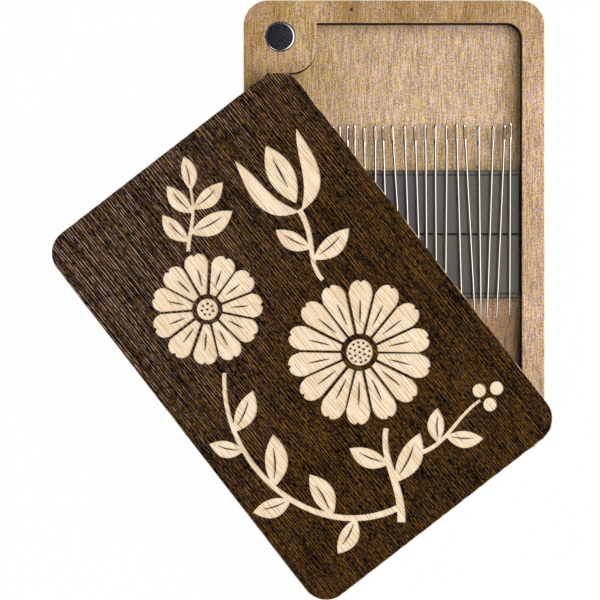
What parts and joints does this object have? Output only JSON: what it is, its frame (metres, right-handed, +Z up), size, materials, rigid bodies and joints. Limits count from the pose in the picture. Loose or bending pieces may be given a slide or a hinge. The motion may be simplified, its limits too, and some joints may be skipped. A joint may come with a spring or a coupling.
{
  "type": "magnetic needle case",
  "caption": "Flat pocket needle case of birch plywood: a shallow recess with magnetic strips that hold sewing needles, under an engraved lid that swivels on a corner magnet.",
  "frame": {"origin": "middle of the base's underside", "axes": "+X across the base to the right, +Y along the base towards the closing magnet's end, +Z up from the underside; at rest the lid is swung open by 37.76 degrees, and it is closed at lid_swivel = -37.76 degrees"},
  "size_m": [0.0985, 0.1188, 0.0101],
  "materials": {
    "birch_floor": "bare sanded birch plywood",
    "birch_frame": "bare sanded birch plywood with charred cut walls",
    "stained_birch": "dark wood stain, engraved through to bare birch",
    "nickel_magnet": "nickel-plated disc magnet",
    "magnetic_sheet": "matt grey-brown flexible magnet",
    "adhesive_film": "double-sided film",
    "needle_steel": "polished nickel-plated steel"
  },
  "bodies": {
    "base": {"base_plate": "birch_floor", "base_frame": "birch_frame", "base_closing_magnet": "nickel_magnet", "base_pivot_magnet": "nickel_magnet", "upper_strip_adhesive": "adhesive_film", "lower_strip_adhesive": "adhesive_film", "upper_magnetic_strip": "magnetic_sheet", "lower_magnetic_strip": "magnetic_sheet", "needle_01": "needle_steel", "needle_02": "needle_steel", "needle_03": "needle_steel", "needle_04": "needle_steel", "needle_05": "needle_steel", "needle_06": "needle_steel", "needle_07": "needle_steel", "needle_08": "needle_steel", "needle_09": "needle_steel", "needle_10": "needle_steel", "needle_11": "needle_steel", "needle_12": "needle_steel", "needle_13": "needle_steel", "needle_14": "needle_steel", "needle_15": "needle_steel", "needle_16": "needle_steel", "needle_17": "needle_steel", "needle_18": "needle_steel", "needle_19": "needle_steel", "needle_20": "needle_steel", "needle_21": "needle_steel", "needle_22": "needle_steel", "needle_23": "needle_steel", "needle_24": "needle_steel", "needle_25": "needle_steel"},
    "lid": {"lid_plate": "stained_birch", "lid_closing_magnet": "nickel_magnet", "lid_pivot_magnet": "nickel_magnet"}
  },
  "joints": [
    {"name": "lid_swivel", "type": "hinge", "parent": "base", "child": "lid", "pos_m": [0.02275, -0.03775, 0.006], "axis": [0, 0, 1], "continuous": true}
  ]
}
